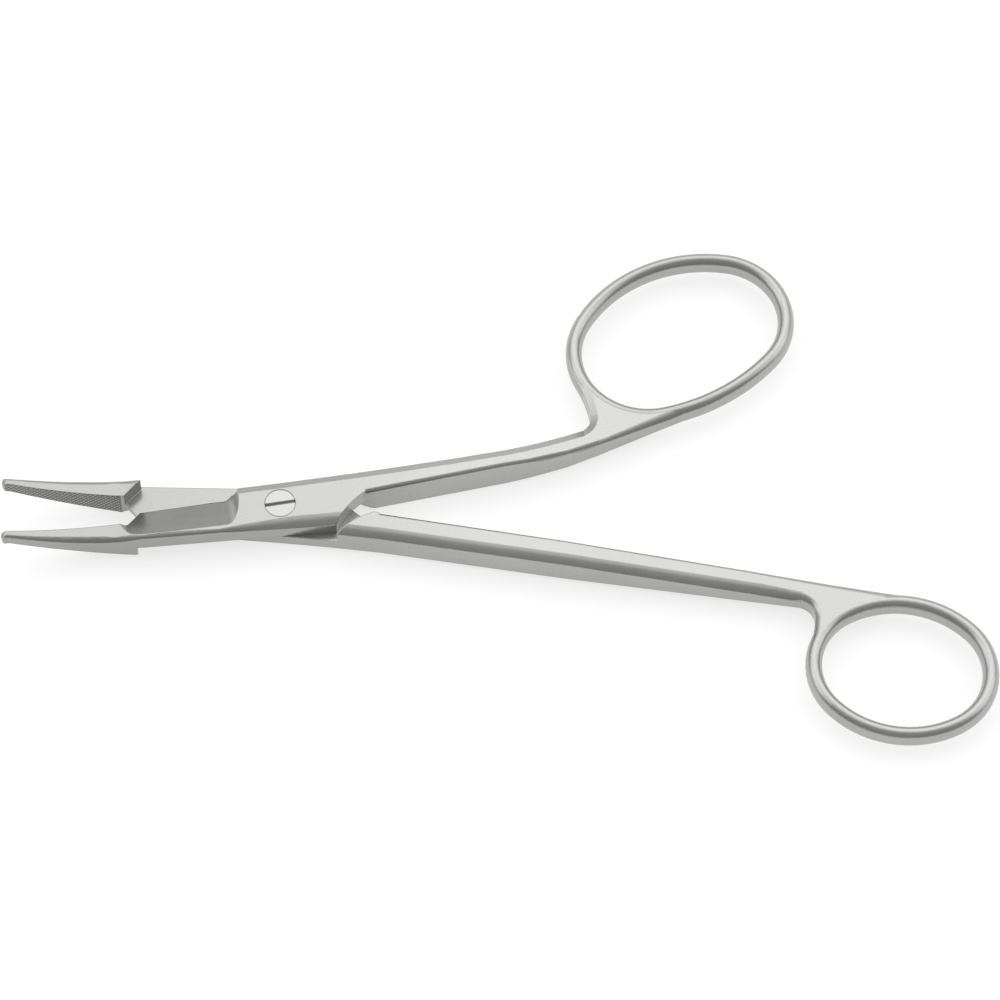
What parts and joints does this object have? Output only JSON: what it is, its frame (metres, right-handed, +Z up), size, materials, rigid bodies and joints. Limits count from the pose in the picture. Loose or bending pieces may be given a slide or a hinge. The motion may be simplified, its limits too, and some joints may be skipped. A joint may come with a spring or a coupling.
{
  "type": "needle holder scissors",
  "caption": "Surgical needle holder with suture scissor blades behind curved serrated jaws, a slotted screw joint and unequal offset finger rings.",
  "frame": {"origin": "on the pivot axis, at the flat underside of the joint that the instrument lies on", "axes": "+X from the pivot towards the finger rings along the length, +Y towards the thumb ring side, +Z up out of the flat underside, along the pivot screw towards its slot"},
  "size_m": [0.1556, 0.088, 0.0078],
  "materials": {
    "thumb_half_steel": "satin",
    "finger_half_steel": "satin",
    "screw_steel": "satin"
  },
  "bodies": {
    "finger_half": {"finger_ring_half": "finger_half_steel", "pivot_screw": "screw_steel"},
    "thumb_half": {"thumb_ring_half": "thumb_half_steel"}
  },
  "joints": [
    {"name": "pivot", "type": "hinge", "parent": "finger_half", "child": "thumb_half", "pos_m": [0, 0, 0], "axis": [0, 0, 1], "range_deg": [-11.2, 40]}
  ]
}
